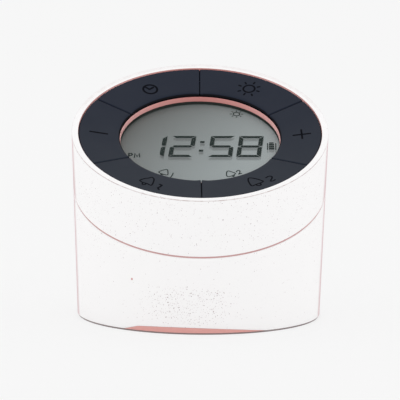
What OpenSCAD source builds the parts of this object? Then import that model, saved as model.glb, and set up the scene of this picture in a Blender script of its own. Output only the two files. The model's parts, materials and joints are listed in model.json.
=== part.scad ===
// Round table alarm clock: a tapered body cut off at a slope, with a ring of six keys round a
// recessed display. Millimetres. The origin is where the body's axis meets the table, Z is up,
// and the low front of the sloping face looks along -Y.
//
// Depths are measured straight down from the rim plane, which passes through the top of the body's
// sloping edge. Everything under the sloping face keeps a round outline seen from above.

/* [Body] */
// Diameter of the body at the table
base_d = 94.8; // [94:0.2:96]
// Lean of the side wall, in degrees, so that the body widens upwards
draft = 2.1; // [1.8:0.1:2.4]
// Height of the rim plane on the axis
rim_h = 72.3; // [70:0.1:76]
// Height of the seam between the two housings on the axis
seam_h = 50.1; // [48:0.1:50.6]
// Slope of the rim and of the seam, in degrees
slope = 23; // [22:0.5:24]
// Thickness of the housings' side wall
wall = 2.8; // [2.4:0.1:3]
// Height of the strip that shows in the seam
seam_gap = 0.65; // [0.5:0.05:0.9]

/* [Keys] */
// Number of keys in the ring
key_count = 6; // [6]
// Outer radius of the key ring, seen from above
key_ro = 47.2; // [46.8:0.1:47.3]
// Inner radius of the key ring, seen from above
key_ri = 31.3; // [31:0.1:31.6]
// Width of the gap between two keys
key_gap = 0.5; // [0.4:0.05:0.8]
// Depth of the keys' outer edge
key_top_out = 0.25; // [0.1:0.05:0.5]
// Depth of the keys' inner edge
key_top_in = 2; // [1.8:0.02:2.1]
// How far a key sinks when it is pressed, square to the sloping face
key_travel = 0.4; // [0.2:0.05:0.4]

/* [Display] */
// Inner radius of the trim round the display, seen from above
bezel_ri = 31.1; // [30.8:0.05:31.2]
// Depth of the trim's upper edge
bezel_top = 3.2; // [3.18:0.01:3.3]
// Depth of the trim's lower edge
bezel_low = 4.92; // [4.8:0.01:5.1]
// Depth of the window over the display
lens_top = 5.9; // [5.8:0.05:6.1]

/* [Power] */
// Diameter of the battery cell
cell_d = 18.4; // [16:0.2:18.6]
// Length of the battery cell
cell_l = 65; // [50:1:66]
// Width of the charging socket's mouth
socket_w = 9; // [8.9:0.1:9.2]
// Height of the charging socket's mouth
socket_h = 3.2; // [3:0.1:3.4]

/* [Hidden] */
$fn = 96;

// Larger than the body, for cutting solids
far = 90;
lap = 0.5;
base_r = base_d / 2;
body_top = 110;
lean = tan(draft);
cs = cos(slope);
sn = sin(slope);

// Colours
white = [0.95, 0.95, 0.95];
rose = [0.84, 0.58, 0.56];
slate = [0.19, 0.20, 0.24];
grey = [0.56, 0.54, 0.54];
steel = [0.72, 0.73, 0.75];
board_green = [0.10, 0.33, 0.22];

// Angles of the six keys, seen from above, anticlockwise from +X
plus_at = 0;
light_at = 60;
clock_at = 120;
minus_at = 180;
alarm_1_at = 240;
alarm_2_at = 300;
key_angles = [for (i = [0 : key_count - 1]) i * 360 / key_count];

// Depths of the layers under the sloping face
lip_t = 0.15;
liner_t = 0.4;
liner_fit = 0.02;
key_slack = 0.3;
key_skin = 1.3;
nose_low = 2.7;
key_skirt = 4.5;
deck_top = 5.4;
deck_low = 7.4;
deck_ri = 32.9;
deck_ro = 47.4;
lens_t = 0.9;
lcd_top = lens_top + lens_t + 0.05;
lcd_t = 2.0;
guide_top = lcd_top + lcd_t + 0.05;
guide_t = 2.4;
board_top = 12.4;
board_t = 1.7;
seam_depth = rim_h - seam_h;

// Distances square to the sloping face, down from the rim plane
board_n = board_top * cs;
switch_at_r = 39;
switch_h = 3.5;
switch_w = 4.6;
plunger_r = 1.7;
plunger_up = 1.0;
plunger_in = 1.7;
pin_r = 1.5;
pin_turn = 16;
pin_at_r = 41.5;
pin_end_n = 9.2;
sleeve_end_n = 8.4;
presser_r = 2.2;
running = 0.08;
face_shift = 2.2;
switch_top_n = board_n - switch_h;
presser_end_n = switch_top_n - plunger_up;

// Screws
screw_r = 1.2;
pilot_r = 1.3;
head_r = 2.4;
head_h = 1.4;
boss_r = 2.9;

// Floor of the body
foot_t = 0.65;
foot_r = base_r - 0.3;
cover_top = 3.4;
cover_fit = 0.3;
band_h = 2.63;
band_tilt = 9.2;
band_turn = -10.4;
band_end_x = -28.4;
band_end_tilt = 17.2;

// Parts on the cover
speaker_at = [0, -25];
speaker_r = 13;
speaker_frame_h = 2;
contact_out = 16.5;
cell_y = 7;
cell_z = cover_top + 2 + cell_d / 2;
socket_z = 12;
socket_y = 36.4;
charge_board_t = 1.6;
charge_board_z = socket_z - socket_h / 2 - charge_board_t;
charge_board_y = socket_y - 6;
charge_post_x = [-10, 10];
charge_screw_r = 0.9;

// Radius of the body's side at a height
function side_r(z) = base_r + lean * z;
// A place on the sloping face, for pieces that run square to it; they sit a little low so that
// they keep clear of the wall at the back, where they lean towards it
function on_face_xy(r, a) = [r * cos(a), r * sin(a) / cs - face_shift];

// The body's tapered outline, moved inwards by an inset
module tapered(inset = 0) {
    cylinder(h = body_top, r1 = base_r - inset, r2 = side_r(body_top) - inset);
}

// All of space between two depths under the rim plane
module layer(top, low) {
    translate([0, 0, rim_h])
        rotate([slope, 0, 0])
            translate([-far, -far, -low * cs])
                cube([2 * far, 2 * far, (low - top) * cs]);
}

// A plate that is round seen from above, parallel to the sloping face
module plate(r, top, low) {
    intersection() {
        cylinder(h = body_top, r = r);
        layer(top, low);
    }
}

// A ring of the same kind
module flat_ring(ro, ri, top, low) {
    difference() {
        plate(ro, top, low);
        cylinder(h = body_top, r = ri);
    }
}

// Places its children on the sloping face, a distance n below the rim plane and square to it
module face(n) {
    translate([0, 0, rim_h])
        rotate([slope, 0, 0])
            translate([0, 0, -n])
                children();
}

// Leans a level solid so that level planes lie parallel to the sloping face
module leaned() {
    multmatrix([[1, 0, 0, 0], [0, 1, 0, 0], [0, sn / cs, 1, rim_h], [0, 0, 0, 1]])
        children();
}

// Wedge between two radial planes, narrowed by an inset on each side
module wedge(inset, z_low, z_top) {
    half = 180 / key_count;
    start = inset / sin(half);
    translate([start, 0, z_low])
        linear_extrude(z_top - z_low)
            polygon([[0, 0], [far * cos(half), -far * sin(half)], [far * cos(half), far * sin(half)]]);
}

// Material between a corner and a round of radius r, where the edges leave the round at two places
module corner_cut(corner, on_a, centre, on_b, r) {
    difference() {
        polygon([corner + (corner - centre) / 5, on_a, centre, on_b]);
        translate(centre)
            circle(r = r);
    }
}

// Section of a key, radius against height: a nose over the display's trim, the dished skin and a
// skirt, with rounded upper edges
module key_section() {
    in_round = 0.6;
    out_round = 0.4;
    nose_r = key_ri + 0.65;
    step_r = 35;
    step_low = -key_top_in - key_skin;
    dip = (key_top_in - key_top_out) / (key_ro - key_ri);
    run = sqrt(1 + dip * dip);
    in_c = [key_ri + in_round, -key_top_in + in_round * (dip - run)];
    out_c = [key_ro - out_round, -key_top_out - out_round * (dip + run)];
    difference() {
        polygon([
            [key_ri, -nose_low], [nose_r, -nose_low], [nose_r, step_low], [step_r, step_low],
            [step_r, -key_skirt], [key_ro, -key_skirt], [key_ro, -key_top_out], [key_ri, -key_top_in]
        ]);
        corner_cut([key_ri, -key_top_in], in_c + [-dip, 1] * in_round / run, in_c,
                   [key_ri, in_c[1]], in_round);
        corner_cut([key_ro, -key_top_out], out_c + [-dip, 1] * out_round / run, out_c,
                   [key_ro, out_c[1]], out_round);
    }
}

// What is cut off a corner of a key, seen from above, at its inner (dir 1) or outer (dir -1) end
module key_corner(end_r, dir, side) {
    r = dir > 0 ? 0.9 : 0.6;
    half = 180 / key_count;
    edge = key_gap / 2;
    along = [cos(half), side * sin(half)];
    inward = [sin(half), -side * cos(half)];
    centre_r = end_r + dir * r;
    centre = [(edge + r) / sin(half), 0]
        + along * (sqrt(centre_r * centre_r - (edge + r) * (edge + r)) - (edge + r) / tan(half));
    corner = [edge / sin(half), 0] + along * (sqrt(end_r * end_r - edge * edge) - edge / tan(half));
    translate([0, 0, -10])
        linear_extrude(12)
            corner_cut(corner, centre - inward * r, centre, centre * end_r / centre_r, r);
}

// Pocket under a key's skin
module key_pocket_section() {
    in_r = 36.2;
    out_r = key_ro - 1.4;
    dip = (key_top_in - key_top_out) / (key_ro - key_ri);
    polygon([
        [in_r, -key_top_out - key_skin - dip * (key_ro - in_r)],
        [out_r, -key_top_out - key_skin - dip * (key_ro - out_r)],
        [out_r, -key_skirt - 1], [in_r, -key_skirt - 1]
    ]);
}

// Key cap: a dished skin with a skirt, a presser over the switch and two guide pins
module key(at) {
    skirt_t = 1.2;
    pin_start_n = 1.6;
    post_start_n = 1.9;
    color(slate) {
        leaned()
            difference() {
                intersection() {
                    rotate_extrude()
                        key_section();
                    rotate([0, 0, at])
                        wedge(key_gap / 2, -10, 2);
                }
                intersection() {
                    rotate_extrude()
                        key_pocket_section();
                    rotate([0, 0, at])
                        wedge(key_gap / 2 + skirt_t, -10, 2);
                }
                rotate([0, 0, at])
                    for (side = [-1, 1]) {
                        key_corner(key_ri, 1, side);
                        key_corner(key_ro, -1, side);
                    }
            }
        face(presser_end_n)
            translate(on_face_xy(switch_at_r, at))
                cylinder(h = presser_end_n - post_start_n, r = presser_r);
        for (turn = [-pin_turn, pin_turn])
            face(pin_end_n)
                translate(on_face_xy(pin_at_r, at + turn)) {
                    cylinder(h = pin_end_n - pin_start_n, r = pin_r);
                    // Staked head that keeps the key on the deck
                    cylinder(h = pin_end_n - sleeve_end_n - 0.05, r = pin_r + 0.5);
                }
    }
}

// Push rod of one switch
module plunger(at) {
    color(slate)
        face(switch_top_n + plunger_in)
            translate(on_face_xy(switch_at_r, at))
                cylinder(h = plunger_in + plunger_up, r = plunger_r);
}

module key_clock() { key(clock_at); }
module key_light() { key(light_at); }
module key_plus() { key(plus_at); }
module key_alarm_2() { key(alarm_2_at); }
module key_alarm_1() { key(alarm_1_at); }
module key_minus() { key(minus_at); }
module switch_plunger_clock() { plunger(clock_at); }
module switch_plunger_light() { plunger(light_at); }
module switch_plunger_plus() { plunger(plus_at); }
module switch_plunger_alarm_2() { plunger(alarm_2_at); }
module switch_plunger_alarm_1() { plunger(alarm_1_at); }
module switch_plunger_minus() { plunger(minus_at); }

// Six switch housings, each with a well for its push rod
module switch_bodies() {
    well = plunger_in + key_travel + 0.2;
    leg = [0.8, 5.6, 0.3];
    color([0.12, 0.12, 0.13])
        for (at = key_angles)
            face(board_n)
                translate(on_face_xy(switch_at_r, at))
                    difference() {
                        union() {
                            translate([-switch_w / 2, -switch_w / 2, 0])
                                cube([switch_w, switch_w, switch_h]);
                            for (x = [-1, 1])
                                translate([x * 1.4 - leg[0] / 2, -leg[1] / 2, 0])
                                    cube(leg);
                        }
                        translate([0, 0, switch_h - well])
                            cylinder(h = well + lap, r = plunger_r + running);
                    }
}

// Screw with a pan head; its shank points down
module screw(length, r = screw_r) {
    slot = [0.8, 2 * head_r - 1.4, 0.7];
    difference() {
        union() {
            translate([0, 0, -length])
                cylinder(h = length + lap, r = r);
            cylinder(h = head_h, r = head_r);
        }
        for (turn = [0, 90])
            rotate([0, 0, turn])
                translate([-slot[0] / 2, -slot[1] / 2, head_h - slot[2]])
                    cube([slot[0], slot[1], 1]);
    }
}

// Spigot of the upper shell, which sits inside the lower one
spigot = 2.2;
spigot_t = 1.2;
spigot_fit = 0.15;
// Places of the bosses that carry the key deck, under three of the gaps between keys
deck_boss_at = [30, 150, 270];
deck_boss_r = 42.6;
deck_boss_top_n = 8.4;
deck_boss_end_n = 14;
// Places of the posts that join the two housings
joint_at = [60, 120, 240, 300];
joint_r = 41.2;
joint_post_r = 4;
joint_post_top = 15;
joint_rib = 12;
// Height of the screws' seat, under the seam
joint_seat = 6;
// Places of the posts that carry the board
board_post_at = [90, 210, 330];
board_post_r = 38;
// Places of the bosses for the cover's screws
cover_boss_at = [20, 160, 200, 340];
cover_boss_r = 40.4;
cover_boss_h = 14;

// A point's height in the seam plane
function seam_z(y) = seam_h + y * sn / cs;

// Upper shell with the rim, the ledge and the bosses
module upper_housing() {
    mouth = key_ro + key_slack;
    bore = mouth + liner_t;
    ledge_r = 45;
    rim_round = 0.5;
    // The rim's outer edge is close to a circle, whose centre lies a little behind the axis
    rim_r = 50.1;
    rim_back = 0.78;
    color(white)
        difference() {
            union() {
                difference() {
                    intersection() {
                        tapered();
                        layer(0, seam_depth - seam_gap / 2);
                        // Softens the rim's outer edge
                        leaned()
                            translate([0, rim_back, 0])
                                union() {
                                    translate([0, 0, -far])
                                        cylinder(h = far - rim_round, r = far);
                                    translate([0, 0, -rim_round])
                                        cylinder(h = rim_round, r1 = rim_r, r2 = rim_r - rim_round);
                                }
                    }
                    plate(mouth, -1, deck_low);
                    plate(bore, lip_t + liner_t, deck_low);
                    // Bevel under the rim's lip, which hides the liner's edge
                    leaned()
                        translate([0, 0, -lip_t - liner_t])
                            cylinder(h = liner_t, r1 = bore, r2 = mouth);
                    plate(ledge_r, -1, deck_low + 2);
                    intersection() {
                        tapered(wall);
                        layer(deck_low + 2, seam_depth + 5);
                    }
                }
                // Spigot that centres the upper shell in the lower one
                intersection() {
                    difference() {
                        tapered(wall + spigot_fit);
                        tapered(wall + spigot_fit + spigot_t);
                    }
                    layer(seam_depth - 3, seam_depth + spigot);
                }
                // Links the spigot to the wall above the seam
                intersection() {
                    difference() {
                        tapered(wall - lap);
                        tapered(wall + spigot_fit + spigot_t);
                    }
                    layer(seam_depth - 3, seam_depth - seam_gap / 2);
                }
                // Bosses for the key deck, each with a rib to the wall
                intersection() {
                    tapered(wall / 2);
                    union()
                        for (at = deck_boss_at)
                            face(deck_boss_end_n)
                                translate(on_face_xy(deck_boss_r, at))
                                    deck_boss(at);
                }
                // Posts that meet the posts of the lower shell
                for (at = joint_at)
                    intersection() {
                        rotate([0, 0, at])
                            translate([joint_r, 0, 0])
                                cylinder(h = body_top, r = joint_post_r);
                        layer(joint_post_top, seam_depth);
                    }
                for (at = joint_at)
                    intersection() {
                        rotate([0, 0, at])
                            translate([joint_r, -1, 0])
                                cube([joint_rib, 2, body_top]);
                        tapered(1);
                        layer(joint_post_top, seam_depth - 1);
                    }
            }
            for (at = deck_boss_at)
                face(deck_boss_end_n)
                    translate(on_face_xy(deck_boss_r, at)) {
                        translate([0, 0, -lap])
                            cylinder(h = deck_boss_end_n, r = pilot_r);
                        // Room for the deck's own boss
                        translate([0, 0, deck_boss_end_n - deck_boss_top_n])
                            cylinder(h = deck_boss_top_n, r = boss_r + 0.2);
                    }
            // Room for the guide sleeves at the back
            plate(ledge_r + 0.6, deck_low - 0.1, deck_low + 2.4);
            for (at = joint_at)
                rotate([0, 0, at])
                    translate([joint_r, 0, seam_z(joint_r * sin(at)) - joint_seat])
                        cylinder(h = joint_seat + 5, r = pilot_r);
        }
}

// One boss of the upper shell and its rib
module deck_boss(at) {
    h = deck_boss_end_n - deck_boss_top_n;
    cylinder(h = h, r = boss_r);
    rotate([0, 0, at])
        translate([0, -0.8, 0])
            cube([10, 1.6, h]);
}

// Lower shell with its screw wells, cover bosses and the hole for the charging socket
module lower_housing() {
    well_r = 2.9;
    color(white)
        difference() {
            union() {
                difference() {
                    tapered();
                    tapered(wall);
                    layer(-far, seam_depth + seam_gap / 2);
                    translate([-far, -far, -far])
                        cube([2 * far, 2 * far, far + foot_t]);
                    band_cut(0.05);
                }
                // Screw wells
                for (at = joint_at)
                    intersection() {
                        union() {
                            rotate([0, 0, at])
                                translate([joint_r, 0, cover_top + 0.4])
                                    cylinder(h = body_top, r = joint_post_r);
                            rotate([0, 0, at])
                                translate([joint_r, -1, cover_top + 2])
                                    cube([joint_rib, 2, body_top]);
                        }
                        tapered(1);
                        layer(seam_depth + 0.05, far);
                    }
                // Bosses for the cover's screws
                for (at = cover_boss_at)
                    rotate([0, 0, at])
                        translate([cover_boss_r, 0, cover_top + 0.1]) {
                            cylinder(h = cover_boss_h, r = boss_r - 0.2);
                            translate([0, -1, 0])
                                cube([base_r - cover_boss_r - 1, 2, cover_boss_h]);
                        }
            }
            for (at = joint_at)
                rotate([0, 0, at])
                    translate([joint_r, 0, 0]) {
                        cylinder(h = seam_z(joint_r * sin(at)) - joint_seat, r = well_r);
                        cylinder(h = body_top, r = pilot_r + 0.3);
                    }
            for (at = cover_boss_at)
                rotate([0, 0, at])
                    translate([cover_boss_r, 0, 0])
                        cylinder(h = cover_top + cover_boss_h - 2, r = pilot_r);
            socket_hole();
            spigot_room();
        }
}

// Rebate inside the lower shell for the spigot of the upper one
module spigot_room() {
    reach = spigot + 0.2;
    inner = wall + spigot_t + 2 * spigot_fit;
    difference() {
        union() {
            intersection() {
                tapered(wall - spigot_fit);
                layer(-far, seam_depth + reach);
            }
            intersection() {
                tapered(-1);
                layer(-far, seam_depth + seam_gap / 2 + 0.02);
            }
        }
        tapered(inner);
    }
}

// Space under the sloping line of the rose band at the foot, which runs out quickly on the left
module band_cut(gap = 0) {
    intersection() {
        rotate([0, 0, band_turn])
            translate([0, -base_r, band_h + gap])
                rotate([-band_tilt, 0, 0])
                    translate([-far, -lap - 5, -far])
                        cube([2 * far, 2 * far, far]);
        translate([band_end_x, -far, foot_t + gap])
            rotate([0, -band_end_tilt, 0])
                translate([-lap - 5, 0, -far])
                    cube([2 * far, 2 * far, far]);
    }
}

// Slot in the wall at the back for the plug of the charging lead
module socket_hole() {
    w = socket_w + 1;
    h = socket_h + 1;
    translate([0, 30, socket_z])
        rotate([-90, 0, 0]) {
            for (x = [-1, 1])
                translate([x * (w - h) / 2, 0, 0])
                    cylinder(h = 30, r = h / 2);
            translate([-(w - h) / 2, -h / 2, 0])
                cube([w - h, h, 30]);
        }
}

// Strip that shows as a thin line between the shells
module seam_ring() {
    color(rose)
        intersection() {
            difference() {
                tapered(0.25);
                tapered(wall - 0.1);
            }
            layer(seam_depth - seam_gap / 2 + 0.02, seam_depth + seam_gap / 2 - 0.02);
        }
}

// Thin liner of the recess that holds the keys, with its bevelled edge under the rim's lip
module rim_liner() {
    ri = key_ro + key_slack;
    ro = ri + liner_t - liner_fit;
    bevel_low = -lip_t - liner_t - liner_fit;
    color(rose)
        intersection() {
            flat_ring(ro, ri, 0, deck_top - 0.1);
            leaned()
                union() {
                    translate([0, 0, -far])
                        cylinder(h = far + bevel_low, r = far);
                    translate([0, 0, bevel_low])
                        cylinder(h = ro - ri, r1 = ro, r2 = ri);
                }
        }
}

// Cover under the body, with the band that shows at the front
module base_cover() {
    plate_r = base_r - wall - cover_fit;
    color(rose)
        difference() {
            union() {
                translate([0, 0, foot_t])
                    cylinder(h = cover_top - foot_t, r = plate_r);
                // Collar round the loudspeaker
                translate([speaker_at[0], speaker_at[1], cover_top - lap])
                    difference() {
                        cylinder(h = lap + 2, r = speaker_r + 1.4);
                        translate([0, 0, -lap])
                            cylinder(h = lap + 3, r = speaker_r + 0.2);
                    }
                // Posts for the charging board
                for (x = charge_post_x)
                    translate([x, charge_board_y, cover_top - lap])
                        cylinder(h = charge_board_z - cover_top + lap, r = 2.2);
                intersection() {
                    difference() {
                        tapered();
                        cylinder(h = body_top, r = plate_r - lap);
                    }
                    band_cut();
                    translate([-far, -far, foot_t])
                        cube([2 * far, 2 * far, cover_top]);
                }
            }
            for (at = cover_boss_at)
                rotate([0, 0, at])
                    translate([cover_boss_r, 0, 0]) {
                        cylinder(h = body_top, r = pilot_r + 0.3);
                        cylinder(h = foot_t + head_h, r = head_r + 0.3);
                    }
            for (x = charge_post_x)
                translate([x, charge_board_y, cover_top])
                    cylinder(h = body_top, r = charge_screw_r + 0.1);
            sound_holes();
        }
}

// Holes under the loudspeaker
module sound_holes() {
    ring_r = 4.5;
    hole_r = 0.9;
    translate([speaker_at[0], speaker_at[1], -1])
        for (step = [0 : 2])
            for (i = [0 : max(0, 6 * step - 1)])
                rotate([0, 0, 60 * i / max(1, step)])
                    translate([ring_r * step, 0, 0])
                        cylinder(h = cover_top + 2, r = hole_r);
}

// Soft pad that the clock stands on, open over the screws and the sound holes
module foot_pad() {
    color(grey)
        difference() {
            union() {
                cylinder(h = 0.2, r1 = foot_r - 0.2, r2 = foot_r);
                translate([0, 0, 0.2])
                    cylinder(h = foot_t - 0.2, r = foot_r);
            }
            for (at = cover_boss_at)
                rotate([0, 0, at])
                    translate([cover_boss_r, 0, -1])
                        cylinder(h = 3, r = head_r + 0.4);
            sound_holes();
        }
}

// Deck under the keys: guide sleeves, openings for the pressers and posts for the board
module key_deck() {
    sleeve_r = 2.5;
    color(slate)
        difference() {
            union() {
                flat_ring(deck_ro, deck_ri, deck_top, deck_low);
                flat_ring(deck_ri + 1.5, deck_ri, bezel_low, deck_low);
                for (at = key_angles)
                    for (turn = [-pin_turn, pin_turn])
                        face(sleeve_end_n)
                            translate(on_face_xy(pin_at_r, at + turn))
                                cylinder(h = sleeve_end_n - deck_top * cs - 0.2, r = sleeve_r);
                for (at = board_post_at)
                    face(board_n)
                        translate(on_face_xy(board_post_r, at))
                            cylinder(h = board_n - deck_top * cs - 0.2, r = boss_r - 0.4);
                intersection() {
                    cylinder(h = body_top, r = deck_ro);
                    for (at = deck_boss_at)
                        face(deck_boss_top_n)
                            translate(on_face_xy(deck_boss_r, at))
                                cylinder(h = deck_boss_top_n - deck_top * cs - 0.2, r = boss_r);
                }
            }
            for (at = key_angles) {
                for (turn = [-pin_turn, pin_turn])
                    face(board_n)
                        translate(on_face_xy(pin_at_r, at + turn))
                            cylinder(h = board_n, r = pin_r + running);
                face(board_n)
                    translate(on_face_xy(switch_at_r, at))
                        cylinder(h = board_n, r = presser_r + 0.6);
            }
            for (at = board_post_at)
                face(board_n + 1)
                    translate(on_face_xy(board_post_r, at))
                        cylinder(h = 5, r = pilot_r);
            for (at = deck_boss_at)
                face(deck_boss_top_n + 1)
                    translate(on_face_xy(deck_boss_r, at))
                        cylinder(h = deck_boss_top_n + 1 - deck_top * cs - 0.8, r = pilot_r);
        }
}

// Rose trim round the display: a lip inside the keys and a flange on the deck
module display_bezel() {
    lip_t = 0.3;
    flange_top = 4.3;
    color(rose)
        union() {
            flat_ring(bezel_ri + lip_t, bezel_ri, bezel_top, bezel_low);
            flat_ring(deck_ri + 1.4, bezel_ri, flange_top, bezel_low);
        }
}

// Dark foam between the trim and the window
module display_gasket() {
    color([0.13, 0.15, 0.15])
        flat_ring(deck_ri - 0.3, bezel_ri - 0.05, bezel_low + 0.02, lens_top - 0.02);
}

// Clear window over the display
module display_lens() {
    color([0.85, 0.9, 0.9, 0.3])
        plate(deck_ri - 0.2, lens_top, lens_top + lens_t);
}

// Liquid crystal panel: two glasses, the lower one longer at the contact edge
module lcd_panel() {
    r = deck_ri - 0.4;
    color([0.56, 0.60, 0.59])
        union() {
            intersection() {
                plate(r, lcd_top, lcd_top + lcd_t / 2 + 0.02);
                translate([-far, -27, 0])
                    cube([2 * far, 2 * far, body_top]);
            }
            plate(r, lcd_top + lcd_t / 2, lcd_top + lcd_t);
        }
}

// Light guide that spreads the backlight
module light_guide() {
    color([0.93, 0.95, 0.93])
        intersection() {
            plate(deck_ri - 0.4, guide_top, guide_top + guide_t);
            translate([-far, -24, 0])
                cube([2 * far, 2 * far, body_top]);
        }
}

// Angles of the backlight's light sources, and their places on the board
led_at = [30, 150];
led_r = 33.6;
function led_xy(r, a) = [r * cos(a), r * sin(a) / cs - 2 * face_shift];
// Footprint of the contact strip under the panel's lower edge
strip = [30, 2.4];
strip_y = -34.7;

// Cup that holds the panel and the light guide over the board
module display_holder() {
    ro = 33.6;
    led_slot = [4.4, 4, 2.6];
    color([0.88, 0.88, 0.86])
        difference() {
            plate(ro, deck_low + 0.1, board_top - 0.02);
            plate(ro - 0.8, deck_low - 1, guide_top + guide_t + 0.05);
            face(board_n)
                for (at = led_at)
                    translate(led_xy(led_r - 0.6, at))
                        rotate([0, 0, at])
                            translate([-led_slot[1] / 2, -led_slot[0] / 2, -1])
                                cube([led_slot[1], led_slot[0], 1 + led_slot[2]]);
            face(board_n)
                translate([-strip[0] / 2 - 1, strip_y - 0.8, -1])
                    cube([strip[0] + 2, strip[1] + 1.6, 5]);
        }
}

// Two light sources beside the light guide
module backlight_leds() {
    size = [1.5, 2.8, 2.2];
    color([0.95, 0.93, 0.8])
        for (at = led_at)
            face(board_n)
                translate(led_xy(led_r, at))
                    rotate([0, 0, at])
                        translate([-size[0] / 2, -size[1] / 2, 0])
                            cube(size);
}

// Rubber contact strip from the board to the panel's lower edge
module lcd_connector() {
    face(board_n)
        color([0.25, 0.25, 0.28])
            translate([-strip[0] / 2, strip_y, 0])
                cube([strip[0], strip[1], (board_top - lcd_top - lcd_t) * cs - 0.05]);
}

// Main board under the deck, notched round the bosses
module main_board() {
    color(board_green)
        difference() {
            plate(45.8, board_top, board_top + board_t);
            for (at = deck_boss_at)
                face(20)
                    translate(on_face_xy(deck_boss_r, at)) {
                        cylinder(h = 20, r = boss_r + 0.4);
                        rotate([0, 0, at])
                            translate([0, -1.3, 0])
                                cube([10, 2.6, 20]);
                    }
            for (at = board_post_at)
                face(20)
                    translate(on_face_xy(board_post_r, at))
                        cylinder(h = 20, r = pilot_r + 0.2);
        }
}

// Controller, memory and plug header under the main board
module board_chips() {
    n = board_n + board_t * cs;
    color([0.10, 0.10, 0.11])
        face(n) {
            translate([-5, -6, -1.6])
                cube([10, 10, 1.6]);
            translate([12, -2, -1.4])
                cube([5, 6, 1.4]);
            translate([-20, -3, -3.6])
                cube([4.5, 8, 3.6]);
            translate([6, 13, -4])
                cylinder(h = 4, r = 2.2);
        }
}

// Screws up through the bosses of the upper shell into the key deck
module deck_screws() {
    color(steel)
        for (at = deck_boss_at)
            face(deck_boss_end_n)
                translate(on_face_xy(deck_boss_r, at))
                    rotate([180, 0, 0])
                        screw(7.8);
}

// Screws that hold the board on the posts of the deck
module board_screws() {
    color(steel)
        for (at = board_post_at)
            face(board_n + board_t * cs)
                translate(on_face_xy(board_post_r, at))
                    rotate([180, 0, 0])
                        screw(5);
}

// Long screws up through the wells of the lower shell
module housing_screws() {
    color(steel)
        for (at = joint_at)
            rotate([0, 0, at])
                translate([joint_r, 0, seam_z(joint_r * sin(at)) - joint_seat])
                    rotate([180, 0, 0])
                        screw(10);
}

// Screws that hold the cover
module base_screws() {
    color(steel)
        for (at = cover_boss_at)
            rotate([0, 0, at])
                translate([cover_boss_r, 0, foot_t + head_h])
                    rotate([180, 0, 0])
                        screw(8);
}

// Loudspeaker over the sound holes
module speaker() {
    frame_h = speaker_frame_h;
    magnet_h = 3.6;
    color([0.16, 0.16, 0.17])
        translate([speaker_at[0], speaker_at[1], cover_top + 0.05])
            difference() {
                union() {
                    cylinder(h = frame_h, r = speaker_r);
                    translate([0, 0, frame_h])
                        cylinder(h = 1.4, r1 = speaker_r - 1, r2 = 8);
                    translate([0, 0, frame_h + 1.4])
                        cylinder(h = magnet_h, r = 7);
                }
                translate([0, 0, -lap])
                    cylinder(h = lap + 1.6, r1 = 11.5, r2 = 6);
            }
}

// Rechargeable cell, lying across the body
module battery_cell() {
    cap = 1.2;
    color([0.20, 0.42, 0.62])
        translate([-cell_l / 2, cell_y, cell_z])
            rotate([0, 90, 0]) {
                cylinder(h = cell_l - cap, r = cell_d / 2);
                translate([0, 0, cell_l - cap])
                    cylinder(h = cap, r = 3.2);
            }
}

// Cradle that carries the cell on the cover
module battery_cradle() {
    plate_t = 1.6;
    saddle_t = 3;
    width = cell_d + 4;
    length = cell_l + 4;
    color([0.30, 0.31, 0.33])
        difference() {
            union() {
                translate([-length / 2, cell_y - width / 2, cover_top + 0.05])
                    cube([length, width, plate_t]);
                for (x = [-cell_l / 2 + 8, 0, cell_l / 2 - 8])
                    translate([x - saddle_t / 2, cell_y - width / 2, cover_top + 0.05])
                        cube([saddle_t, width, plate_t + cell_d / 2 + 2]);
                for (x = [-1, 1])
                    translate([x * (length / 2 - 0.75) - 0.75, cell_y - 8, cover_top + 0.05])
                        cube([1.5, 16, plate_t + cell_d * 0.7]);
            }
            translate([-cell_l / 2 - 0.3, cell_y, cell_z])
                rotate([0, 90, 0])
                    cylinder(h = cell_l + 0.6, r = cell_d / 2 + 0.1);
        }
}

// Small board that carries the charging socket and the charging circuit
module charge_board() {
    size = [26, 16, charge_board_t];
    color(board_green)
        translate([0, charge_board_y, charge_board_z])
            difference() {
                union() {
                    translate([-size[0] / 2, -size[1] / 2, 0])
                        cube(size);
                    translate([-2.5, -6, size[2] - lap])
                        cube([5, 4, lap + 1.2]);
                    translate([4, -6, size[2] - lap])
                        cube([4, 3, lap + 2.4]);
                }
                for (x = charge_post_x)
                    translate([x, 0, -lap])
                        cylinder(h = 3, r = charge_screw_r + 0.2);
            }
}

// Screws that hold the charging board on its posts
module charge_board_screws() {
    color(steel)
        for (x = charge_post_x)
            translate([x, charge_board_y, charge_board_z + charge_board_t])
                difference() {
                    union() {
                        translate([0, 0, -4.5])
                            cylinder(h = 5, r = charge_screw_r);
                        cylinder(h = 1, r = 1.8);
                    }
                    translate([-2, -0.3, 0.5])
                        cube([4, 0.6, 1]);
                }
}

// Metal shell and tongue of the charging socket
module charge_socket() {
    depth = 7.6;
    shell = 0.3;
    color(steel)
        translate([0, socket_y, socket_z])
            rotate([-90, 0, 0])
                difference() {
                    socket_shape(socket_w, socket_h, depth);
                    translate([0, 0, 1])
                        difference() {
                            socket_shape(socket_w - 2 * shell, socket_h - 2 * shell, depth);
                            translate([-3.3, -0.35, -lap])
                                cube([6.6, 0.7, depth - 1.6]);
                        }
                }
}

// Flat shape with round ends
module socket_shape(w, h, depth) {
    for (x = [-1, 1])
        translate([x * (w - h) / 2, 0, 0])
            cylinder(h = depth, r = h / 2);
    translate([-(w - h) / 2, -h / 2, 0])
        cube([w - h, h, depth]);
}

// A round wire through a list of points, with a bead at each corner
module wire(points, r) {
    for (i = [0 : len(points) - 2]) {
        step = points[i + 1] - points[i];
        translate(points[i])
            rotate([0, acos(step[2] / norm(step)), atan2(step[1], step[0])])
                cylinder(h = norm(step), r = r);
        if (i > 0)
            translate(points[i])
                sphere(r = r + 0.05, $fn = 32);
    }
}

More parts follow.
